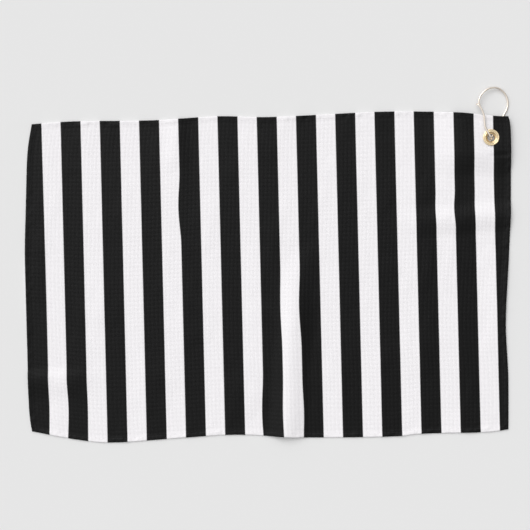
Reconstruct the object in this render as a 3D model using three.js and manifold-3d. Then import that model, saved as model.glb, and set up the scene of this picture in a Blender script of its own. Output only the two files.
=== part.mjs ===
// A striped golf towel laid on a table: a hemmed waffle cloth, a two-piece grommet in one corner,
// and a sprung wire clip through the grommet, to hang the towel on a bag.
//
// Millimetres. +X runs along the long side, +Y towards the edge that holds the grommet, and +Z up from
// the printed face. The origin is the middle of the cloth, on the surface that the towel lies on.
import * as THREE from "three";
import { mergeVertices } from "three/addons/utils/BufferGeometryUtils.js";
import Module from "manifold-3d";

// Driving dimensions.
const CLOTH_LENGTH = 610;
const CLOTH_WIDTH = 406;
const CLOTH_THICKNESS = 1.6;
const HEM_WIDTH = 7;
const HEM_THICKNESS = 2.2;
const THREAD_WIDTH = 0.8;
const THREAD_HEIGHT = 0.4;
const STITCH_INSET = 5;
const GAP = 0.3;

const WIRE_DIAMETER = 2.3;
const WIRE_RADIUS = WIRE_DIAMETER / 2;
const WIRE_FLOOR_CLEARANCE = 0.2;
const BARREL_INNER_RADIUS = 4.7;
const BARREL_OUTER_RADIUS = 5.5;
const FLANGE_RADIUS = 10.3;
const FLANGE_HEIGHT = 1.2;
const WASHER_RADIUS = 9.8;
const WASHER_THICKNESS = 0.7;
const LIP_RADIUS = 7.4;
const LIP_THICKNESS = 0.5;
const GROMMET_AT = { x: 284.3, y: 169 };

// Heights at the grommet, stacked from the table up: the wire's back leg, the clinched lip, the washer,
// the cloth, the flange, and the wire's front leg.
const BACK_LEG_Z = WIRE_FLOOR_CLEARANCE + WIRE_RADIUS;
const LIP_BOTTOM_Z = BACK_LEG_Z + WIRE_RADIUS + GAP;
const WASHER_BOTTOM_Z = LIP_BOTTOM_Z + LIP_THICKNESS + GAP;
const CORNER_RISE = WASHER_BOTTOM_Z + WASHER_THICKNESS + GAP;
const FLANGE_BOTTOM_Z = CORNER_RISE + CLOTH_THICKNESS + GAP;
const FLANGE_TOP_Z = FLANGE_BOTTOM_Z + FLANGE_HEIGHT;
const FRONT_LEG_Z = FLANGE_TOP_Z + GAP + WIRE_RADIUS;

const GRID_COLUMNS = 40;
const GRID_ROWS = 28;
const RING_SEGMENTS = 32;
const WIRE_SIDES = 12;

// The cloth's four edges as it lies, each through a few points from one corner to the next.
const CORNERS = {
  topLeft: [-292.8, 200.2],
  topRight: [306.6, 195.2],
  bottomLeft: [-301.8, -186.5],
  bottomRight: [298, -198.5],
};
const EDGES = {
  left: [CORNERS.bottomLeft, [-305, -155], [-305.5, -60], [-306, 20], [-302.2, 110], [-299, 165], CORNERS.topLeft],
  right: [CORNERS.bottomRight, [299.5, -130], [298, -60], [305, 35], [308.4, 102], [309.2, 177], CORNERS.topRight],
  bottom: [CORNERS.bottomLeft, [-244, -198.5], [-198, -203], [-108, -199], [-45, -197], [43, -202.5],
    [150, -204], [192, -201.4], [268, -201.4], CORNERS.bottomRight],
  top: [CORNERS.topLeft, [-240, 202.5], [-140, 201.5], [-58, 204.5], [12, 202], [150, 205.2],
    [238, 202], [286, 196.4], CORNERS.topRight],
};

const wasm = await Module();
wasm.setup();

// 0 at `from` and 1 at `to`, easing in and out; `to` may be the smaller of the two.
function smooth(from, to, value) {
  const share = THREE.MathUtils.clamp((value - from) / (to - from), 0, 1);
  return share * share * (3 - 2 * share);
}

// A rounded hump, 1 at its crest and 0 from `before` below it to `after` above it.
function hump(offset, before, after) {
  const reach = offset < 0 ? before : after;
  const share = Math.min(Math.abs(offset) / reach, 1);
  return 0.5 + 0.5 * Math.cos(Math.PI * share);
}

// How far the laid cloth's underside stands above the table at a point of the plan.
function rise(x, y) {
  const longFoldCrest = 34.8 + 0.094 * (y + 10) + 0.0095 * Math.max(y + 8, 0) ** 2;
  const longFoldHeight = 4.2 * smooth(62, -70, y) + 2.3 * smooth(-130, -205, y);
  const longFold = longFoldHeight * hump(x - longFoldCrest, 26, 31);
  const topFold = 1.6 * smooth(45, 190, y) * hump(x + 109, 22, 18);
  const rightFoldCrest = 67 + 5 * smooth(215, 310, x);
  const rightFold = 2.8 * smooth(140, 250, x) * hump(y - rightFoldCrest, 24, 22);
  const leftFold = 2.2 * smooth(-195, -290, x) * hump(y + 120.5, 30, 16);
  const cornerLift = CORNER_RISE * smooth(200, 255, x) * smooth(118, 152, y);
  const edgeLift = 1.5 * smooth(270, 305, x) * hump(y + 20, 90, 60);
  return longFold + topFold + rightFold + leftFold + cornerLift + edgeLift;
}

const edgeCurves = Object.fromEntries(
  Object.entries(EDGES).map(([name, points]) => [
    name,
    new THREE.SplineCurve(points.map(([x, y]) => new THREE.Vector2(x, y))),
  ]),
);

// A point of the laid cloth's plan, from its place across (0 left to 1 right) and up (0 bottom to 1 top).
function laidPoint(across, up) {
  const left = edgeCurves.left.getPointAt(up);
  const right = edgeCurves.right.getPointAt(up);
  const bottom = edgeCurves.bottom.getPointAt(across);
  const top = edgeCurves.top.getPointAt(across);
  const [bl, br] = [CORNERS.bottomLeft, CORNERS.bottomRight];
  const [tl, tr] = [CORNERS.topLeft, CORNERS.topRight];
  const blend = (axis, index) =>
    THREE.MathUtils.lerp(left[axis], right[axis], across) +
    THREE.MathUtils.lerp(bottom[axis], top[axis], up) -
    THREE.MathUtils.lerp(
      THREE.MathUtils.lerp(bl[index], br[index], across),
      THREE.MathUtils.lerp(tl[index], tr[index], across),
      up,
    );
  return new THREE.Vector2(blend("x", 0), blend("y", 1));
}

// A closed slab over a patch of the cloth: its underside follows the rise plus `lift`.
function clothSlab({ across, up, columns, rows, lift = 0, thickness }) {
  const positions = [];
  const indices = [];
  const rowLength = columns + 1;
  const layerSize = rowLength * (rows + 1);
  for (const layer of [lift, lift + thickness]) {
    for (let row = 0; row <= rows; row += 1) {
      for (let column = 0; column <= columns; column += 1) {
        const plan = laidPoint(
          THREE.MathUtils.lerp(across[0], across[1], column / columns),
          THREE.MathUtils.lerp(up[0], up[1], row / rows),
        );
        positions.push(plan.x, plan.y, rise(plan.x, plan.y) + layer);
      }
    }
  }
  const quad = (a, b, c, d) => indices.push(a, b, c, a, c, d);
  for (let row = 0; row < rows; row += 1) {
    for (let column = 0; column < columns; column += 1) {
      const corner = row * rowLength + column;
      const above = corner + rowLength;
      quad(corner, above, above + 1, corner + 1);
      quad(corner + layerSize, corner + layerSize + 1, above + layerSize + 1, above + layerSize);
    }
  }
  const rim = [];
  for (let column = 0; column < columns; column += 1) rim.push(column);
  for (let row = 0; row < rows; row += 1) rim.push(row * rowLength + columns);
  for (let column = columns; column > 0; column -= 1) rim.push(rows * rowLength + column);
  for (let row = rows; row > 0; row -= 1) rim.push(row * rowLength);
  rim.forEach((corner, index) => {
    const next = rim[(index + 1) % rim.length];
    quad(corner, next, next + layerSize, corner + layerSize);
  });
  const geometry = new THREE.BufferGeometry();
  geometry.setAttribute("position", new THREE.Float32BufferAttribute(positions, 3));
  geometry.setIndex(indices);
  return geometry;
}

function toSolid(geometry) {
  const bare = geometry.clone();
  bare.deleteAttribute("normal");
  bare.deleteAttribute("uv");
  const merged = mergeVertices(bare, 1e-4);
  return new wasm.Manifold(
    new wasm.Mesh({
      numProp: 3,
      vertProperties: merged.attributes.position.array,
      triVerts: new Uint32Array(merged.index.array),
    }),
  );
}

function fromSolid(solid) {
  const mesh = solid.getMesh();
  const geometry = new THREE.BufferGeometry();
  geometry.setAttribute("position", new THREE.BufferAttribute(mesh.vertProperties, 3));
  geometry.setIndex(new THREE.BufferAttribute(mesh.triVerts, 1));
  geometry.computeVertexNormals();
  return geometry;
}

const towel = new THREE.Group();

const materials = {
  printedCloth: new THREE.MeshStandardMaterial({ color: 0xf0eeef, roughness: 0.9, metalness: 0 }),
  hemCloth: new THREE.MeshStandardMaterial({ color: 0x202021, roughness: 0.9, metalness: 0 }),
  thread: new THREE.MeshStandardMaterial({ color: 0x2a2a2a, roughness: 0.75, metalness: 0 }),
  grommetBrass: new THREE.MeshStandardMaterial({ color: 0xcfae76, roughness: 0.22, metalness: 1 }),
  clipWire: new THREE.MeshStandardMaterial({ color: 0xe6d9c8, roughness: 0.18, metalness: 1 }),
};

function addPiece(name, geometry, material) {
  const mesh = new THREE.Mesh(geometry, material);
  mesh.name = name;
  towel.add(mesh);
  return mesh;
}

// Shares of the length and width that a distance from the edge takes.
const acrossShare = (distance) => distance / CLOTH_LENGTH;
const upShare = (distance) => distance / CLOTH_WIDTH;

function addPanel() {
  const slab = clothSlab({
    across: [acrossShare(HEM_WIDTH), 1 - acrossShare(HEM_WIDTH)],
    up: [upShare(HEM_WIDTH), 1 - upShare(HEM_WIDTH)],
    columns: GRID_COLUMNS,
    rows: GRID_ROWS,
    thickness: CLOTH_THICKNESS,
  });
  const punch = new THREE.CylinderGeometry(
    BARREL_OUTER_RADIUS + GAP,
    BARREL_OUTER_RADIUS + GAP,
    CORNER_RISE * 4,
    RING_SEGMENTS,
  );
  punch.rotateX(Math.PI / 2);
  punch.translate(GROMMET_AT.x, GROMMET_AT.y, CORNER_RISE);
  addPiece("towel_panel", fromSolid(toSolid(slab).subtract(toSolid(punch))), materials.printedCloth);
}

// The four hems and their stitch lines. The top and bottom hems hold the corners.
function addHems() {
  const sideEnds = [upShare(HEM_WIDTH) + upShare(GAP), 1 - upShare(HEM_WIDTH) - upShare(GAP)];
  const strips = {
    top: { across: [0, 1], up: [1 - upShare(HEM_WIDTH - GAP), 1], columns: GRID_COLUMNS, rows: 1 },
    bottom: { across: [0, 1], up: [0, upShare(HEM_WIDTH - GAP)], columns: GRID_COLUMNS, rows: 1 },
    left: { across: [0, acrossShare(HEM_WIDTH - GAP)], up: sideEnds, columns: 1, rows: GRID_ROWS },
    right: { across: [1 - acrossShare(HEM_WIDTH - GAP), 1], up: sideEnds, columns: 1, rows: GRID_ROWS },
  };
  const halfAcross = acrossShare(THREAD_WIDTH / 2);
  const halfUp = upShare(THREAD_WIDTH / 2);
  const fromSide = acrossShare(STITCH_INSET);
  const fromEnd = upShare(STITCH_INSET);
  const longRun = [fromSide, 1 - fromSide];
  const shortRun = [sideEnds[0], sideEnds[1]];
  const threads = {
    top: { across: longRun, up: [1 - fromEnd - halfUp, 1 - fromEnd + halfUp] },
    bottom: { across: longRun, up: [fromEnd - halfUp, fromEnd + halfUp] },
    left: { across: [fromSide - halfAcross, fromSide + halfAcross], up: shortRun },
    right: { across: [1 - fromSide - halfAcross, 1 - fromSide + halfAcross], up: shortRun },
  };
  for (const [side, strip] of Object.entries(strips)) {
    const hem = clothSlab({ ...strip, thickness: HEM_THICKNESS });
    addPiece(`hem_${side}`, hem, materials.hemCloth);
    const thread = clothSlab({
      ...threads[side],
      columns: strip.columns,
      rows: strip.rows,
      lift: HEM_THICKNESS + GAP,
      thickness: THREAD_HEIGHT,
    });
    addPiece(`hem_thread_${side}`, thread, materials.thread);
  }
}

function ring(name, profile) {
  const points = [...profile, profile[0]].map(([radius, z]) => new THREE.Vector2(radius, z));
  const geometry = new THREE.LatheGeometry(points, RING_SEGMENTS);
  geometry.rotateX(Math.PI / 2);
  const mesh = addPiece(name, geometry, materials.grommetBrass);
  mesh.position.set(GROMMET_AT.x, GROMMET_AT.y, 0);
}

// The grommet: a flanged eyelet whose barrel passes through the cloth and is clinched over a washer.
function addGrommet() {
  const crownRadius = (FLANGE_RADIUS + BARREL_INNER_RADIUS) / 2;
  ring("grommet_eyelet", [
    [BARREL_INNER_RADIUS, LIP_BOTTOM_Z],
    [LIP_RADIUS, LIP_BOTTOM_Z],
    [LIP_RADIUS, LIP_BOTTOM_Z + LIP_THICKNESS],
    [BARREL_OUTER_RADIUS, LIP_BOTTOM_Z + LIP_THICKNESS],
    [BARREL_OUTER_RADIUS, FLANGE_BOTTOM_Z],
    [FLANGE_RADIUS, FLANGE_BOTTOM_Z],
    [FLANGE_RADIUS - 0.1, FLANGE_BOTTOM_Z + 0.5],
    [FLANGE_RADIUS - 0.8, FLANGE_TOP_Z - 0.2],
    [crownRadius, FLANGE_TOP_Z],
    [BARREL_INNER_RADIUS + 0.9, FLANGE_TOP_Z - 0.3],
    [BARREL_INNER_RADIUS + 0.2, FLANGE_BOTTOM_Z + 0.2],
    [BARREL_INNER_RADIUS, FLANGE_BOTTOM_Z - 0.8],
  ]);
  const washerTop = WASHER_BOTTOM_Z + WASHER_THICKNESS;
  ring("grommet_washer", [
    [BARREL_OUTER_RADIUS + GAP, WASHER_BOTTOM_Z],
    [WASHER_RADIUS, WASHER_BOTTOM_Z],
    [WASHER_RADIUS, washerTop],
    [BARREL_OUTER_RADIUS + GAP, washerTop],
  ]);
}

function wireTube(path, steps) {
  const section = new THREE.Shape(
    Array.from({ length: WIRE_SIDES }, (_, side) => {
      const angle = (side / WIRE_SIDES) * 2 * Math.PI;
      return new THREE.Vector2(Math.cos(angle) * WIRE_RADIUS, Math.sin(angle) * WIRE_RADIUS);
    }),
  );
  return new THREE.ExtrudeGeometry(section, { steps, bevelEnabled: false, extrudePath: path });
}

// The wire turns through the grommet's hole on two quarter bends that meet at this point, where it
// runs straight down the hole. Each leaves it towards its own leg.
const BEND_RADIUS = (FRONT_LEG_Z - BACK_LEG_Z) / 2;
const BEND_MEETING = new THREE.Vector3(
  GROMMET_AT.x + 0.2,
  GROMMET_AT.y - 1.9,
  (FRONT_LEG_Z + BACK_LEG_Z) / 2,
);
const SPLIT_ANGLE = 6;
const BEND_STEPS = 5;

function quarterBend(headingDegrees, upOrDown) {
  const heading = THREE.MathUtils.degToRad(headingDegrees);
  return Array.from({ length: BEND_STEPS + 1 }, (_, step) => {
    const angle = THREE.MathUtils.degToRad(
      THREE.MathUtils.lerp(SPLIT_ANGLE, 90, step / BEND_STEPS),
    );
    const outward = BEND_RADIUS * (1 - Math.cos(angle));
    return new THREE.Vector3(
      BEND_MEETING.x + outward * Math.cos(heading),
      BEND_MEETING.y + outward * Math.sin(heading),
      BEND_MEETING.z + upOrDown * BEND_RADIUS * Math.sin(angle),
    );
  });
}

// The clip is one sprung wire, in two pieces that part where it bends through the grommet: the bow,
// which runs behind the cloth and round the bulb, and the gate, which lies over the cloth and hooks
// over the bow's end.
const LATCH_Z = FRONT_LEG_Z - WIRE_DIAMETER - 2 * GAP;
const BOW_POINTS = [
  [296, 186.8, BACK_LEG_Z],
  [301.4, 196.8, BACK_LEG_Z],
  [305.8, 205, BACK_LEG_Z],
  [307.2, 213.2, BACK_LEG_Z + 0.1],
  [304.8, 222, BACK_LEG_Z + 0.7],
  [298.8, 228.9, BACK_LEG_Z + 1.6],
  [290.5, 231.7, BACK_LEG_Z + 2.7],
  [281.2, 229.7, BACK_LEG_Z + 3.8],
  [273.6, 223.4, LATCH_Z - 0.5],
  [270.3, 216.4, LATCH_Z - 0.1],
  [270.4, 211.6, LATCH_Z],
  [271.6, 207.2, LATCH_Z],
];
const GATE_POINTS = [
  [279.6, 176.2, FRONT_LEG_Z],
  [276.8, 181.8, FRONT_LEG_Z],
  [275.9, 188.6, FRONT_LEG_Z],
  [275.6, 195.4, FRONT_LEG_Z],
  [274, 201, FRONT_LEG_Z],
  [271.9, 205.8, FRONT_LEG_Z],
  [268.9, 209.8, FRONT_LEG_Z - 0.4],
  [267.8, 210.8, FRONT_LEG_Z - 1.6],
  [267.5, 211, FRONT_LEG_Z - 3.1],
];
const BOW_HEADING = 61;
const GATE_HEADING = 118;
const BOW_STEPS = 80;
const GATE_STEPS = 40;

function addClip() {
  const route = (bend, points) =>
    new THREE.CatmullRomCurve3([...bend, ...points.map((point) => new THREE.Vector3(...point))]);
  const bow = wireTube(route(quarterBend(BOW_HEADING, -1), BOW_POINTS), BOW_STEPS);
  addPiece("clip_bow", bow, materials.clipWire);
  const gate = wireTube(route(quarterBend(GATE_HEADING, 1), GATE_POINTS), GATE_STEPS);
  addPiece("clip_gate", gate, materials.clipWire);
}

addPanel();
addHems();
addGrommet();
addClip();

export default towel;
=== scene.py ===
"""A black and white striped golf towel laid on a pale floor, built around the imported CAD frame.

Lengths in the constants are millimetres, in the CAD's frame: +X along the cloth, +Y towards the
grommet's edge, +Z up, with the origin in the middle of the cloth on the floor.
"""

import math

import bmesh
import bpy
import numpy as np
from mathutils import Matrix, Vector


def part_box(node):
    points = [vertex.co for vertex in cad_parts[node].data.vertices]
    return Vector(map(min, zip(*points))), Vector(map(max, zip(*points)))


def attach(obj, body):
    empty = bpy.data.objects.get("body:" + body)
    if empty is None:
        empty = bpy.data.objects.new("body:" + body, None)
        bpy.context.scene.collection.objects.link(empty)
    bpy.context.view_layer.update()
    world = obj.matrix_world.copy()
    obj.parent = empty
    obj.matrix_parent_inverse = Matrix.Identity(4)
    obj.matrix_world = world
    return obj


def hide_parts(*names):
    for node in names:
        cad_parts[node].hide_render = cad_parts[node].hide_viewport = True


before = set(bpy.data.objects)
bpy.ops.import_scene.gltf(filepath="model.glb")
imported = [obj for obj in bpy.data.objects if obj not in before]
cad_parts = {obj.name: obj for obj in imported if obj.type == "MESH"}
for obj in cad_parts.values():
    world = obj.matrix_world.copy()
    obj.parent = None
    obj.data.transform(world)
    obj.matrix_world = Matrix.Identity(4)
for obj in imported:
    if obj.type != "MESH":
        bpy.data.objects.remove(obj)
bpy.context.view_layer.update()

MM = 0.001

# The cloth, as in the CAD, except that its hems are 0.15 mm thinner.
CLOTH_LENGTH = 610.0
CLOTH_WIDTH = 406.0
CLOTH_THICKNESS = 1.6
HEM_THICKNESS = 2.05
STITCH_INSET = 5.0
CLOTH_HOLE_RADIUS = 7.2

# The gap between neighbouring pieces, as in the CAD.
GAP = 0.3

# The grommet and the wire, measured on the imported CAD.
EYELET_LOW, EYELET_HIGH = (np.array(corner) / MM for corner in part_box("grommet_eyelet"))
WASHER_LOW, WASHER_HIGH = (np.array(corner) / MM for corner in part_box("grommet_washer"))
GROMMET_X, GROMMET_Y = (EYELET_LOW[:2] + EYELET_HIGH[:2]) / 2
FLANGE_RADIUS = (EYELET_HIGH[0] - EYELET_LOW[0]) / 2
WASHER_RADIUS = (WASHER_HIGH[0] - WASHER_LOW[0]) / 2
WIRE_RADIUS = 1.15
BACK_LEG_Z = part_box("clip_bow")[0][2] / MM + WIRE_RADIUS
FRONT_LEG_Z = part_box("clip_gate")[1][2] / MM - WIRE_RADIUS
CORNER_RISE = WASHER_HIGH[2] + GAP

# The weave: square ridges round sunken cells, with three mesh lines to a cell.
CELLS_ACROSS = 119
CELLS_UP = 73
LINES_PER_CELL = 3
HEM_LINES = (0.0, 0.22, 0.6, 1.15, 1.9, 2.8, 3.7, 4.4, 5.0, 5.6)
HEM_INNER = 6.6
FRONT_RELIEF = 0.48
BACK_RELIEF = 0.4

# The cloth's small relief: how deep or high each is, and how far it reaches.
HEM_PUCKER = 0.35
SLOW_SWAY = 0.5
QUICK_SWAY = 0.18
STITCH_DIP, STITCH_DIP_REACH = 0.1, 0.55
CREASE_Y, CREASE_DEPTH, CREASE_REACH = 147, 0.9, 2.2
EDGE_ROUNDING = 1.15
GROMMET_SQUEEZE = 0.35

# The printed stripes run up the cloth.
STRIPE_WIDTH = 24.71
STRIPE_START = -305.6

# Where the stripes stand off their even places along X: the place, the reach along X and Y, and the shift.
PRINT_SHIFTS = (
    (31, -38, 34, 55, -2.3),
    (-2, -172, 30, 55, -2.9),
    (41, -170, 16, 40, 1.0),
    (-109, 90, 20, 48, -2.6),
    (237, 80, 45, 26, -1.5),
    (-285, -60, 32, 330, 1.2),
    (-257, -160, 45, 40, 1.3),
)

# The cloth's four edges as it lies, each through a few points from one corner to the next.
TOP_LEFT = (-292.8, 200.2)
TOP_RIGHT = (306.6, 195.2)
BOTTOM_LEFT = (-301.8, -186.5)
BOTTOM_RIGHT = (298, -198.5)
LEFT_EDGE = (BOTTOM_LEFT, (-305, -155), (-305.5, -60), (-306, 20), (-302.2, 110), (-299, 165), TOP_LEFT)
RIGHT_EDGE = (BOTTOM_RIGHT, (299.5, -130), (298, -60), (305, 35), (308.4, 102), (309.2, 177), TOP_RIGHT)
BOTTOM_EDGE = (BOTTOM_LEFT, (-244, -198.5), (-198, -203), (-108, -199), (-45, -197), (43, -202.5),
               (150, -204), (192, -201.4), (268, -201.4), BOTTOM_RIGHT)
TOP_EDGE = (TOP_LEFT, (-240, 202.5), (-140, 201.5), (-58, 204.5), (12, 202), (150, 205.2),
            (238, 202), (286, 196.4), TOP_RIGHT)


# ---- The cloth's surface ---------------------------------------------------------------------------


def smooth(start, end, value):
    """0 at start and 1 at end, easing in and out; end may be the smaller of the two."""
    share = np.clip((value - start) / (end - start), 0, 1)
    return share * share * (3 - 2 * share)


def hump(offset, before, after):
    """A rounded hump: 1 at its crest, 0 from `before` below it and `after` above it."""
    reach = np.where(offset < 0, before, after)
    share = np.minimum(np.abs(offset) / reach, 1)
    return 0.5 + 0.5 * np.cos(np.pi * share)


def smooth_line(points, samples_per_span=40):
    """Samples of a smooth line through the points, and each sample's share of the whole length."""
    points = np.array(points, float)
    padded = np.vstack([points[:1], points, points[-1:]])
    step = np.linspace(0, 1, samples_per_span, endpoint=False)[:, None]
    spans = []
    for before, start, end, after in zip(padded, padded[1:], padded[2:], padded[3:]):
        leave, arrive = (end - before) / 2, (after - start) / 2
        cubic = 2 * start - 2 * end + leave + arrive
        square = -3 * start + 3 * end - 2 * leave - arrive
        spans.append(((cubic * step + square) * step + leave) * step + start)
    line = np.vstack(spans + [points[-1:]])
    length = np.concatenate([[0], np.cumsum(np.linalg.norm(np.diff(line, axis=0), axis=1))])
    return line, length / length[-1]


def along(line, share):
    """Points of a smooth line at shares of its length."""
    samples, lengths = line
    return np.stack([np.interp(share, lengths, column) for column in samples.T], axis=-1)


EDGE_LINES = {
    "left": smooth_line(LEFT_EDGE),
    "right": smooth_line(RIGHT_EDGE),
    "bottom": smooth_line(BOTTOM_EDGE),
    "top": smooth_line(TOP_EDGE),
}


def plan(across, up):
    """The laid cloth's x and y, from shares of its length and width."""
    left, right = along(EDGE_LINES["left"], up), along(EDGE_LINES["right"], up)
    bottom, top = along(EDGE_LINES["bottom"], across), along(EDGE_LINES["top"], across)
    s, t = across[..., None], up[..., None]
    low = (1 - s) * np.array(BOTTOM_LEFT) + s * np.array(BOTTOM_RIGHT)
    high = (1 - s) * np.array(TOP_LEFT) + s * np.array(TOP_RIGHT)
    mixed = (1 - s) * left + s * right + (1 - t) * bottom + t * top - (1 - t) * low - t * high
    return mixed[..., 0], mixed[..., 1]


def rise(x, y):
    """How far the laid cloth's underside stands above the floor."""
    long_crest = 34.8 + 0.094 * (y + 10) + 0.0095 * np.maximum(y + 8, 0) ** 2
    long_height = 4.2 * smooth(62, -70, y) + 2.3 * smooth(-130, -205, y)
    long_fold = long_height * hump(x - long_crest, 26, 31)
    top_fold = 1.6 * smooth(45, 190, y) * hump(x + 109, 22, 18)
    right_crest = 67 + 5 * smooth(215, 310, x)
    right_fold = 2.8 * smooth(140, 250, x) * hump(y - right_crest, 24, 22)
    left_fold = 2.2 * smooth(-195, -290, x) * hump(y + 120.5, 30, 16)
    corner_lift = CORNER_RISE * smooth(200, 255, x) * smooth(118, 152, y)
    edge_lift = 1.5 * smooth(270, 305, x) * hump(y + 20, 90, 60)
    return long_fold + top_fold + right_fold + left_fold + corner_lift + edge_lift


def ripples(x, y, length, seed, count=14):
    """Gentle random waves of about the given length, between -1 and 1, the same on every run."""
    random = np.random.default_rng(seed)
    total = np.zeros_like(x)
    for _ in range(count):
        heading, phase = random.uniform(0, 2 * math.pi, 2)
        number = 2 * math.pi / (length * random.uniform(0.7, 1.6))
        total += np.sin(number * (x * math.cos(heading) + y * math.sin(heading)) + phase)
    return total / math.sqrt(count * 2)


def edge_distance(across, up):
    """The cut cloth's distance to its nearest edge."""
    sides = np.minimum(across, 1 - across) * CLOTH_LENGTH
    ends = np.minimum(up, 1 - up) * CLOTH_WIDTH
    return np.minimum(sides, ends)


def ridges(across, up):
    """The weave's ridges: 1 on them, near 0 in the middle of a cell."""
    cells = (
        (across * CLOTH_LENGTH - HEM_INNER) / (CLOTH_LENGTH - 2 * HEM_INNER) * CELLS_ACROSS,
        (up * CLOTH_WIDTH - HEM_INNER) / (CLOTH_WIDTH - 2 * HEM_INNER) * CELLS_UP,
    )
    warp, weft = ((0.5 + 0.5 * np.cos(2 * math.pi * cell)) ** 1.6 for cell in cells)
    return 1 - (1 - warp) * (1 - 0.92 * weft)


def surface(across, up):
    """The cloth's plan and the heights of its top and its underside."""
    x, y = plan(across, up)
    inset = edge_distance(across, up)
    in_hem = smooth(HEM_INNER, STITCH_INSET - 1, inset)
    from_grommet = near_grommet(x, y)
    pucker = HEM_PUCKER * ripples(x, y, 11, 5) * smooth(16, 3, inset)
    crease = CREASE_DEPTH * np.exp(-(((y - CREASE_Y) / CREASE_REACH) ** 2)) * smooth(281, 291, x)
    sway = SLOW_SWAY * ripples(x, y, 75, 3) + QUICK_SWAY * ripples(x, y, 24, 4)
    lift = np.maximum(sway + 0.5 * pucker, 0) * smooth(20, 40, from_grommet)
    base = rise(x, y) - crease + lift
    thickness = CLOTH_THICKNESS + (HEM_THICKNESS - CLOTH_THICKNESS + 0.5 * pucker) * in_hem
    stitch_dip = STITCH_DIP * np.exp(-(((inset - STITCH_INSET) / STITCH_DIP_REACH) ** 2))
    fold_round = np.sqrt(1 - (1 - np.clip(inset / EDGE_ROUNDING, 0.02, 1)) ** 2)
    valley = 1 - ridges(across, up)
    squeeze = GROMMET_SQUEEZE * smooth(15, 10.5, from_grommet)
    upper = thickness - FRONT_RELIEF * valley * (1 - 0.45 * in_hem) - stitch_dip - squeeze
    lower = BACK_RELIEF * valley * (1 - in_hem)
    middle = thickness / 2
    top = base + middle + (upper - middle) * fold_round
    bottom = base + middle + (lower - middle) * fold_round
    return x, y, top, bottom


def near_grommet(x, y):
    """The distance to the grommet's axis."""
    return np.hypot(x - GROMMET_X, y - GROMMET_Y)


# ---- Mesh making -----------------------------------------------------------------------------------


SHARP_ANGLE = math.radians(50)


def add_object(name, vertices, faces):
    """A smoothly shaded mesh object from vertices in millimetres, with its hard corners kept."""
    mesh = bpy.data.meshes.new(name)
    mesh.from_pydata((np.asarray(vertices) * MM).tolist(), [], faces)
    mesh.validate()
    mesh.polygons.foreach_set("use_smooth", [True] * len(mesh.polygons))
    mesh.set_sharp_from_angle(angle=SHARP_ANGLE)
    piece = bpy.data.objects.new(name, mesh)
    bpy.context.scene.collection.objects.link(piece)
    return piece


def printed_x(x, y):
    """The place in the print along x: the stripes stand a little off their even places."""
    drift = np.zeros_like(x)
    for centre_x, centre_y, reach_x, reach_y, shift in PRINT_SHIFTS:
        drift += shift * hump(x - centre_x, reach_x, reach_x) * hump(y - centre_y, reach_y, reach_y)
    return x - drift


def set_print(piece, values):
    """Each vertex's place in the print: x, y, and 1 on the printed side or 0 on the back."""
    layer = piece.data.attributes.new("print_place", "FLOAT_VECTOR", "POINT")
    layer.data.foreach_set("vector", np.asarray(values, np.float32).ravel())


def slab(name, across, up, back_print, hole=None):
    """A closed piece of cloth over a grid of shares, with a round hole if one is given."""
    grid_across, grid_up = np.meshgrid(across, up)
    x, y, top, bottom = surface(grid_across, grid_up)
    keep = np.ones((len(up) - 1, len(across) - 1), bool)
    if hole:
        centre_x = (x[1:, 1:] + x[:-1, :-1]) / 2
        centre_y = (y[1:, 1:] + y[:-1, :-1]) / 2
        keep = near_grommet(centre_x, centre_y) > hole
        x, y = snap_to_hole(x, y, keep, hole)
    places = np.stack([x, y], axis=-1)
    upper = np.concatenate([places, top[..., None]], axis=-1).reshape(-1, 3)
    lower = np.concatenate([places, bottom[..., None]], axis=-1).reshape(-1, 3)
    count = len(upper)
    index = np.arange(count).reshape(x.shape)
    corners = (index[:-1, :-1], index[:-1, 1:], index[1:, 1:], index[1:, :-1])
    quads = np.stack([corner[keep] for corner in corners], axis=-1)
    faces = [quads, quads[:, ::-1] + count, walls(index, keep, count)]
    printed = np.column_stack([printed_x(x, y).ravel(), y.ravel(), np.ones(count)])
    behind = printed * [1, 1, back_print]
    piece = add_object(name, np.vstack([upper, lower]), np.vstack(faces).tolist())
    set_print(piece, np.vstack([printed, behind]))
    drop_loose(piece)
    return piece


def snap_to_hole(x, y, keep, hole):
    """Moves the vertices round the missing quads onto the hole's circle."""
    missing = ~keep
    touched = np.zeros(x.shape, bool)
    kept = np.zeros(x.shape, bool)
    for rows in (slice(None, -1), slice(1, None)):
        for columns in (slice(None, -1), slice(1, None)):
            touched[rows, columns] |= missing
            kept[rows, columns] |= keep
    rim = touched & kept
    distance = near_grommet(x, y)
    pull = np.where(rim, hole / np.maximum(distance, 1e-6), 1)
    return GROMMET_X + (x - GROMMET_X) * pull, GROMMET_Y + (y - GROMMET_Y) * pull


def walls(index, keep, count):
    """Side walls from top to underside, wherever a kept quad has no kept neighbour."""
    padded = np.pad(keep, 1)
    inner = padded[1:-1, 1:-1]
    sides = (
        (padded[:-2, 1:-1], index[:-1, :-1], index[:-1, 1:]),
        (padded[2:, 1:-1], index[1:, 1:], index[1:, :-1]),
        (padded[1:-1, :-2], index[1:, :-1], index[:-1, :-1]),
        (padded[1:-1, 2:], index[:-1, 1:], index[1:, 1:]),
    )
    made = []
    for neighbour, start, end in sides:
        open_side = inner & ~neighbour
        first, second = start[open_side], end[open_side]
        made.append(np.stack([second, first, first + count, second + count], axis=-1))
    return np.vstack(made)


def drop_loose(piece):
    """Deletes the vertices that no face uses."""
    work = bmesh.new()
    work.from_mesh(piece.data)
    bmesh.ops.delete(work, geom=[v for v in work.verts if not v.link_faces], context="VERTS")
    work.to_mesh(piece.data)
    work.free()


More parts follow.
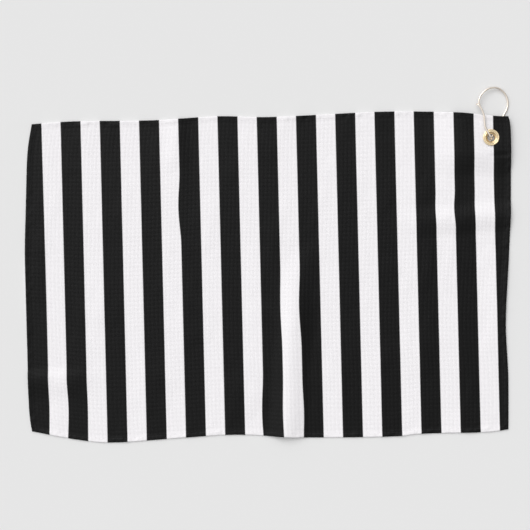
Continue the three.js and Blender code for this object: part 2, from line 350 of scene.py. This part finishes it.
def tube(points, radius, sides, dome_steps):
    """A tube with domed ends: its vertices and faces."""
    points = np.asarray(points, float)
    tangents = np.gradient(points, axis=0)
    tangents /= np.linalg.norm(tangents, axis=1)[:, None]
    centres, radii = [], []
    for angle in np.linspace(0, math.pi / 2, dome_steps + 1)[1:-1]:
        centres.append(points[0] - tangents[0] * radius * math.cos(angle))
        radii.append(radius * math.sin(angle))
    head = len(centres)
    centres.extend(points)
    radii.extend([radius] * len(points))
    for angle in np.linspace(math.pi / 2, 0, dome_steps + 1)[1:-1]:
        centres.append(points[-1] + tangents[-1] * radius * math.cos(angle))
        radii.append(radius * math.sin(angle))
    headings = np.vstack([[tangents[0]] * head, tangents, [tangents[-1]] * head])
    side = np.cross(headings[0], (0.3, 0.2, 0.9))
    rings = []
    for centre, heading, size in zip(centres, headings, radii):
        side = side - heading * np.dot(side, heading)
        side /= np.linalg.norm(side)
        other = np.cross(heading, side)
        turn = np.linspace(0, 2 * math.pi, sides, endpoint=False)[:, None]
        rings.append(centre + size * (np.cos(turn) * side + np.sin(turn) * other))
    vertices = np.vstack(rings)
    faces = []
    for ring in range(len(rings) - 1):
        for number in range(sides):
            after = (number + 1) % sides
            low, high = ring * sides, (ring + 1) * sides
            faces.append([low + number, low + after, high + after, high + number])
    tips = [points[0] - tangents[0] * radius, points[-1] + tangents[-1] * radius]
    first_tip, last_tip = len(vertices), len(vertices) + 1
    last_ring = (len(rings) - 1) * sides
    for number in range(sides):
        after = (number + 1) % sides
        faces.append([first_tip, after, number])
        faces.append([last_tip, last_ring + number, last_ring + after])
    return np.vstack([vertices, tips]), faces


def lathe(name, profile, segments=96):
    """A ring from a closed profile of radii and heights, about the grommet's axis."""
    profile = np.asarray(profile, float)
    turn = np.linspace(0, 2 * math.pi, segments, endpoint=False)
    vertices = [
        (GROMMET_X + radius * math.cos(a), GROMMET_Y + radius * math.sin(a), height)
        for a in turn
        for radius, height in profile
    ]
    count = len(profile)
    faces = []
    for segment in range(segments):
        here, there = segment * count, (segment + 1) % segments * count
        for number in range(count):
            after = (number + 1) % count
            faces.append([here + number, there + number, there + after, here + after])
    return add_object(name, vertices, faces)


# ---- Materials -------------------------------------------------------------------------------------


class Nodes:
    """Short ways to add and join a material's nodes."""

    def __init__(self, name):
        self.material = bpy.data.materials.new(name)
        self.material.use_nodes = True
        self.tree = self.material.node_tree
        self.shader = self.tree.nodes["Principled BSDF"]

    def add(self, kind, **settings):
        """A new node, with its settings."""
        node = self.tree.nodes.new(kind)
        for key, value in settings.items():
            setattr(node, key, value)
        return node

    def join(self, source, target):
        """Links one socket to another."""
        self.tree.links.new(source, target)

    def feed(self, socket, value):
        """Gives a socket a plain number or colour, or joins another node's output to it."""
        if isinstance(value, bpy.types.NodeSocket):
            self.join(value, socket)
        else:
            socket.default_value = value

    def math(self, operation, *values, clamp=False):
        """The result of a sum on numbers or sockets."""
        node = self.add("ShaderNodeMath", operation=operation, use_clamp=clamp)
        for socket, value in zip(node.inputs, values):
            self.feed(socket, value)
        return node.outputs[0]

    def mix(self, share, first, second):
        """A colour between two; a mix node's colours are its sockets 6 and 7 and its output 2."""
        node = self.add("ShaderNodeMix", data_type="RGBA")
        self.feed(node.inputs["Factor"], share)
        self.feed(node.inputs[6], first)
        self.feed(node.inputs[7], second)
        return node.outputs[2]

    def noise(self, vector, scale, detail=2.0):
        """A cloudy pattern between 0 and 1."""
        node = self.add("ShaderNodeTexNoise")
        self.join(vector, node.inputs["Vector"])
        node.inputs["Scale"].default_value = scale
        node.inputs["Detail"].default_value = detail
        return node.outputs["Fac"]

    def bump(self, height, strength, distance):
        """Roughens the shader's normal by a height."""
        node = self.add("ShaderNodeBump")
        node.inputs["Strength"].default_value = strength
        node.inputs["Distance"].default_value = distance
        self.join(height, node.inputs["Height"])
        self.join(node.outputs["Normal"], self.shader.inputs["Normal"])


WHITE_PRINT = (0.9, 0.88, 0.9, 1)
BLACK_PRINT = (0.0006, 0.0006, 0.0006, 1)
BLACK_THREAD = (0.009, 0.009, 0.01, 1)
BRASS = (0.97, 0.79, 0.51)
PALE_GOLD = (0.95, 0.86, 0.76)
YARN_PITCH = 0.55

# How far a stripe's edge wanders and how crisp it is. A balance of 0.5 makes black and white equally
# wide, and more makes the black stripes wider.
STRIPE_WANDER = 0.35
STRIPE_CRISPNESS = 9.0
STRIPE_BALANCE = 0.86


def scaled(colour, share):
    """A colour made darker or brighter, with its alpha at 1."""
    return tuple(part * share for part in colour[:3]) + (1,)


def cloth_material(name, white, black, yarn_strength):
    """Printed waffle cloth: stripes on the face, plain white behind, and the yarns' own relief."""
    nodes = Nodes(name)
    place = nodes.add("ShaderNodeAttribute", attribute_name="print_place").outputs["Vector"]
    split = nodes.add("ShaderNodeSeparateXYZ")
    nodes.join(place, split.inputs[0])
    x, y, face = split.outputs
    wander = nodes.math("MULTIPLY", nodes.math("SUBTRACT", nodes.noise(place, 0.9), 0.5), STRIPE_WANDER)
    offset = nodes.math("SUBTRACT", nodes.math("ADD", x, wander), STRIPE_START)
    stripes = nodes.math("DIVIDE", offset, STRIPE_WIDTH)
    wave = nodes.math("SINE", nodes.math("MULTIPLY", stripes, math.pi))
    inked = nodes.math("MULTIPLY_ADD", wave, STRIPE_CRISPNESS, STRIPE_BALANCE, clamp=True)
    inked = nodes.math("MULTIPLY", inked, face)
    mottle = nodes.noise(place, 0.06, 3.0)
    fleck = nodes.noise(place, 2.2, 2.0)
    shade = nodes.math("MULTIPLY_ADD", nodes.math("ADD", mottle, fleck), 0.06, 0.94)
    pale = nodes.mix(shade, scaled(white, 0.8), white)
    deep = nodes.mix(fleck, black, scaled(black, 2))
    nodes.join(nodes.mix(inked, pale, deep), nodes.shader.inputs["Base Color"])
    yarns = []
    for coordinate in (x, y):
        turns = nodes.math("MULTIPLY", coordinate, 2 * math.pi / YARN_PITCH)
        yarns.append(nodes.math("SINE", turns))
    weave = nodes.math("MULTIPLY", yarns[0], yarns[1])
    height = nodes.math("MULTIPLY_ADD", fleck, 1.4, nodes.math("MULTIPLY", weave, 0.5))
    nodes.bump(height, yarn_strength, 0.12 * MM)
    nodes.join(nodes.math("MULTIPLY_ADD", fleck, 0.1, 0.39), nodes.shader.inputs["Roughness"])
    nodes.shader.inputs["Specular IOR Level"].default_value = 0.18
    nodes.shader.inputs["Sheen Weight"].default_value = 0.02
    nodes.shader.inputs["Sheen Roughness"].default_value = 0.5
    return nodes.material


def metal_material(name, colour, roughness, tarnish):
    """Polished plate with faint wear: fine scratches in its roughness and a duller tint in places."""
    nodes = Nodes(name)
    place = nodes.add("ShaderNodeTexCoord").outputs["Object"]
    cloud = nodes.noise(place, 300, 3.0)
    scratch = nodes.noise(place, 2500, 2.0)
    tint = nodes.mix(cloud, scaled(colour, 1), scaled(colour, 1 - tarnish))
    nodes.join(tint, nodes.shader.inputs["Base Color"])
    spread = nodes.math("MULTIPLY_ADD", scratch, 0.12, roughness - 0.06)
    nodes.join(spread, nodes.shader.inputs["Roughness"])
    nodes.bump(scratch, 0.08, 0.02 * MM)
    nodes.shader.inputs["Metallic"].default_value = 1
    return nodes.material


def floor_material():
    """A matt pale grey sweep, barely mottled."""
    nodes = Nodes("pale_floor")
    place = nodes.add("ShaderNodeTexCoord").outputs["Object"]
    grain = nodes.noise(place, 3, 2.0)
    grey = nodes.mix(grain, (0.795, 0.795, 0.795, 1), (0.805, 0.805, 0.805, 1))
    nodes.join(grey, nodes.shader.inputs["Base Color"])
    nodes.shader.inputs["Roughness"].default_value = 0.9
    nodes.shader.inputs["Specular IOR Level"].default_value = 0
    return nodes.material


def dress(piece, material, body, slot, *nodes):
    """Gives a piece its material and its body, and hides the CAD nodes that it stands for. The slot
    argument is not used.
    """
    piece.data.materials.append(material)
    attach(piece, body)
    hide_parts(*nodes)


# ---- Camera, lights and floor ----------------------------------------------------------------------

VIEW_WIDTH = 668.0
VIEW_CENTRE = (-3.4, 15.8)
VIEW_ROLL = math.radians(1.4)
LENS = 85.0
SENSOR = 36.0

# The key light: its compass heading, elevation and spread in degrees, and its strength.
KEY_HEADING = 125
KEY_ELEVATION = 46
KEY_SPREAD = 45
KEY_STRENGTH = 1.2

# The room's light: the direction it brightens towards, its dimmest grey and its strength.
ROOM_LEAN = (-0.62, 0.5, 1.0)
ROOM_DIM = (0.3, 0.3, 0.3, 1)
ROOM_STRENGTH = 1.068

# The floor reaches this far from the middle, a hair below the cloth.
FLOOR_REACH = 40000
FLOOR_Z = -0.05


def add_camera():
    """A camera straight above the cloth, turned slightly."""
    data = bpy.data.cameras.new("camera")
    data.lens = LENS
    data.sensor_width = SENSOR
    camera = bpy.data.objects.new("camera", data)
    distance = VIEW_WIDTH * LENS / SENSOR
    camera.location = (VIEW_CENTRE[0] * MM, VIEW_CENTRE[1] * MM, distance * MM)
    camera.rotation_euler = (0, 0, -VIEW_ROLL)
    bpy.context.scene.collection.objects.link(camera)
    bpy.context.scene.camera = camera


def add_sun(name, heading, elevation, spread, strength):
    """A soft distant light from a compass heading (0 along +X, 90 along +Y) and an elevation."""
    data = bpy.data.lights.new(name, "SUN")
    data.energy = strength
    data.angle = math.radians(spread)
    light = bpy.data.objects.new(name, data)
    light.rotation_euler = (math.radians(90 - elevation), 0, math.radians(heading + 90))
    bpy.context.scene.collection.objects.link(light)


def add_world():
    """A pale room, brighter on the key light's side and darker towards the other side's wall."""
    world = bpy.data.worlds.new("studio")
    world.use_nodes = True
    tree = world.node_tree
    place = tree.nodes.new("ShaderNodeTexCoord")
    lean = tree.nodes.new("ShaderNodeVectorMath")
    lean.operation = "DOT_PRODUCT"
    lean.inputs[1].default_value = ROOM_LEAN
    ramp = tree.nodes.new("ShaderNodeValToRGB")
    ramp.color_ramp.elements[0].position = 0.42
    ramp.color_ramp.elements[0].color = ROOM_DIM
    ramp.color_ramp.elements[1].position = 1.0
    ramp.color_ramp.elements[1].color = (1, 1, 1, 1)
    background = tree.nodes["Background"]
    tree.links.new(place.outputs["Generated"], lean.inputs[0])
    tree.links.new(lean.outputs["Value"], ramp.inputs["Fac"])
    tree.links.new(ramp.outputs["Color"], background.inputs["Color"])
    background.inputs["Strength"].default_value = ROOM_STRENGTH
    bpy.context.scene.world = world


def add_floor():
    """One large level sheet under the towel, which is part of the stage."""
    turns = ((-1, -1), (1, -1), (1, 1), (-1, 1))
    corners = [(FLOOR_REACH * x, FLOOR_REACH * y, FLOOR_Z) for x, y in turns]
    floor = add_object("floor", corners, [[0, 1, 2, 3]])
    floor.data.materials.append(floor_material())


# ---- The towel -------------------------------------------------------------------------------------


def mesh_lines(length, cells):
    """Shares of a side for its mesh lines: close together in the hems, even across the weave."""
    hem = np.array(HEM_LINES)
    weave = np.linspace(HEM_INNER, length - HEM_INNER, cells * LINES_PER_CELL + 1)
    return np.concatenate([hem, weave, length - hem[::-1]]) / length


def add_cloth():
    """The panel and its four folded hems, over one grid of mesh lines."""
    across = mesh_lines(CLOTH_LENGTH, CELLS_ACROSS)
    up = mesh_lines(CLOTH_WIDTH, CELLS_UP)
    hem = len(HEM_LINES)
    inside = slice(hem, -hem)
    low, high = slice(None, hem + 1), slice(-hem - 1, None)
    cloth = cloth_material("printed_waffle", WHITE_PRINT, BLACK_PRINT, 0.5)
    panel = slab("towel_cloth", across[inside], up[inside], back_print=0, hole=CLOTH_HOLE_RADIUS)
    dress(panel, cloth, "towel", "printed_cloth", "towel_panel")
    strips = {
        "top": (across, up[high]),
        "bottom": (across, up[low]),
        "left": (across[low], up[inside]),
        "right": (across[high], up[inside]),
    }
    hems = []
    for side, (columns, rows) in strips.items():
        strip = slab(f"folded_hem_{side}", columns, rows, back_print=1)
        dress(strip, cloth, "towel", "hem_cloth", f"hem_{side}")
        hems.append(strip)
    return panel, hems


STITCH_PITCH = 3.0
STITCH_LENGTH = 2.3
STITCH_STEPS = 5
STITCH_SINK = 0.16
STITCH_ARCH = 0.22
THREAD_RADIUS = 0.24


def stitch_row(side):
    """Each stitch's start and end as shares of one hem, its share the other way, and the hem's run."""
    inset_across, inset_up = STITCH_INSET / CLOTH_LENGTH, STITCH_INSET / CLOTH_WIDTH
    level = side in ("top", "bottom")
    length = CLOTH_LENGTH if level else CLOTH_WIDTH
    run = length - 2 * STITCH_INSET
    count = int(run / STITCH_PITCH)
    start = (STITCH_INSET + (np.arange(count) + 0.15) * run / count) / length
    end = start + STITCH_LENGTH / length
    fixed = {"top": 1 - inset_up, "bottom": inset_up, "left": inset_across, "right": 1 - inset_across}[side]
    return start, end, fixed, level


def add_stitches(side, material):
    """One hem's line of stitches, each an arched run of thread between two needle holes."""
    start, end, fixed, level = stitch_row(side)
    arch = np.sin(np.linspace(0, math.pi, STITCH_STEPS))
    other = np.full(STITCH_STEPS, fixed)
    vertices, faces, places = [], [], []
    for first, last in zip(start, end):
        share = np.linspace(first, last, STITCH_STEPS)
        across, up = (share, other) if level else (other, share)
        x, y, top, _ = surface(across, up)
        route = np.stack([x, y, top - STITCH_SINK + STITCH_ARCH * arch], axis=-1)
        made, sides = tube(route, THREAD_RADIUS, sides=6, dome_steps=2)
        offset = sum(len(group) for group in vertices)
        faces.extend([[number + offset for number in face] for face in sides])
        vertices.append(made)
        places.append(np.column_stack([printed_x(made[:, 0], made[:, 1]), made[:, 1], np.ones(len(made))]))
    piece = add_object(f"stitches_{side}", np.vstack(vertices), faces)
    set_print(piece, np.vstack(places))
    dress(piece, material, "towel", "hem_thread", f"hem_thread_{side}")
    return piece


BORE_RADIUS = 4.7
BARREL_RADIUS = 5.5
LIP_RADIUS = 7.4
WASHER_BORE_RADIUS = 6.3


def arc(centre, height, width, depth, start, end, steps=9):
    """Points of an elliptical arc in a profile's plane, between two angles in degrees."""
    angles = np.radians(np.linspace(start, end, steps))
    return [(centre + width * math.cos(a), height + depth * math.sin(a)) for a in angles]


def add_grommet():
    """The rolled eyelet and, on the back, the washer that its barrel is clinched over."""
    brass = metal_material("polished_brass", BRASS, 0.24, 0.1)
    crown, foot = EYELET_HIGH[2], EYELET_LOW[2]
    seat = CORNER_RISE + CLOTH_THICKNESS - 0.35
    groove = crown - 0.55
    profile = [(BORE_RADIUS + 0.3, foot)]
    profile += arc(LIP_RADIUS, foot + 0.25, 0.25, 0.25, -90, 90)
    profile += [(BARREL_RADIUS, foot + 0.55), (BARREL_RADIUS, seat), (FLANGE_RADIUS - 0.6, seat)]
    profile += arc(FLANGE_RADIUS - 1.0, crown - 0.65, 1.0, 0.65, -40, 150, 14)
    profile += arc(BORE_RADIUS + 2.9, groove, 0.75, 0.45, 40, 170)
    profile += [(BORE_RADIUS + 1.5, groove - 0.45), (BORE_RADIUS + 0.8, groove - 0.85)]
    profile += [(BORE_RADIUS + 0.3, groove - 1.4), (BORE_RADIUS, groove - 2.4), (BORE_RADIUS, foot + 0.35)]
    eyelet = lathe("rolled_eyelet", profile)
    dress(eyelet, brass, "towel", "grommet_brass", "grommet_eyelet")
    low, high = WASHER_LOW[2], WASHER_HIGH[2]
    inner, outer = WASHER_BORE_RADIUS, WASHER_RADIUS
    washer = lathe("washer_ring", [
        (inner, low + 0.1),
        (inner + 0.1, low),
        (inner + 1.3, low),
        (inner + 1.9, low + 0.12),
        (outer - 0.3, low + 0.12),
        (outer, low + 0.35),
        (outer, high + 0.1),
        (outer - 0.2, high + 0.2),
        (inner + 0.1, high + 0.2),
        (inner, high),
    ])
    dress(washer, brass, "towel", "grommet_brass", "grommet_washer")


# The wire's route, as in the CAD. Its two quarter bends meet inside the grommet's hole.
BEND_RADIUS = (FRONT_LEG_Z - BACK_LEG_Z) / 2
BEND_MEETING = np.array([GROMMET_X + 0.2, GROMMET_Y - 1.9, (FRONT_LEG_Z + BACK_LEG_Z) / 2])
BOW_HEADING = 61
GATE_HEADING = 118
LATCH_Z = FRONT_LEG_Z - 2 * WIRE_RADIUS - 2 * GAP
BOW_POINTS = (
    (296, 186.8, BACK_LEG_Z),
    (301.4, 196.8, BACK_LEG_Z),
    (305.8, 205, BACK_LEG_Z),
    (307.2, 213.2, BACK_LEG_Z + 0.1),
    (304.8, 222, BACK_LEG_Z + 0.7),
    (298.8, 228.9, BACK_LEG_Z + 1.6),
    (290.5, 231.7, BACK_LEG_Z + 2.7),
    (281.2, 229.7, BACK_LEG_Z + 3.8),
    (273.6, 223.4, LATCH_Z - 0.5),
    (270.3, 216.4, LATCH_Z - 0.1),
    (270.4, 211.6, LATCH_Z),
    (271.6, 207.2, LATCH_Z),
)
GATE_POINTS = (
    (279.6, 176.2, FRONT_LEG_Z),
    (276.8, 181.8, FRONT_LEG_Z),
    (275.9, 188.6, FRONT_LEG_Z),
    (275.6, 195.4, FRONT_LEG_Z),
    (274, 201, FRONT_LEG_Z),
    (271.9, 205.8, FRONT_LEG_Z),
    (268.9, 209.8, FRONT_LEG_Z - 0.4),
    (267.8, 210.8, FRONT_LEG_Z - 1.6),
    (267.5, 211, FRONT_LEG_Z - 3.1),
)


def quarter_bend(heading, direction):
    """The wire's turn from straight down the hole to level, towards a compass heading."""
    angle = np.radians(np.linspace(3, 90, 8))
    outward = BEND_RADIUS * (1 - np.cos(angle))
    heading = math.radians(heading)
    return BEND_MEETING + np.stack([
        outward * math.cos(heading),
        outward * math.sin(heading),
        direction * BEND_RADIUS * np.sin(angle),
    ], axis=-1)


def even_route(points, spacing):
    """A smooth route through the points, with even steps of about the given length."""
    line, share = smooth_line(points, 30)
    length = np.linalg.norm(np.diff(line, axis=0), axis=1).sum()
    return along((line, share), np.linspace(0, 1, int(length / spacing)))


def add_clip():
    """The sprung wire, in the two pieces that its gate's flexing parts."""
    wire = metal_material("pale_gold_wire", PALE_GOLD, 0.3, 0.08)
    for name, body, node, heading, direction, points in (
        ("wire_bow", "clip", "clip_bow", BOW_HEADING, -1, BOW_POINTS),
        ("wire_gate", "gate", "clip_gate", GATE_HEADING, 1, GATE_POINTS),
    ):
        route = np.vstack([quarter_bend(heading, direction), points])
        piece = add_object(name, *tube(even_route(route, 0.5), WIRE_RADIUS, sides=24, dome_steps=6))
        dress(piece, wire, body, "clip_wire", node)


def main():
    """Builds the stage and the towel."""
    add_camera()
    add_world()
    add_sun("key_light", KEY_HEADING, KEY_ELEVATION, KEY_SPREAD, KEY_STRENGTH)
    add_floor()
    panel, hems = add_cloth()
    thread = cloth_material("printed_thread", WHITE_PRINT, BLACK_THREAD, 0.2)
    stitches = [add_stitches(side, thread) for side in ("top", "bottom", "left", "right")]
    add_grommet()
    add_clip()
    bpy.context.scene.view_settings.view_transform = "Standard"


main()
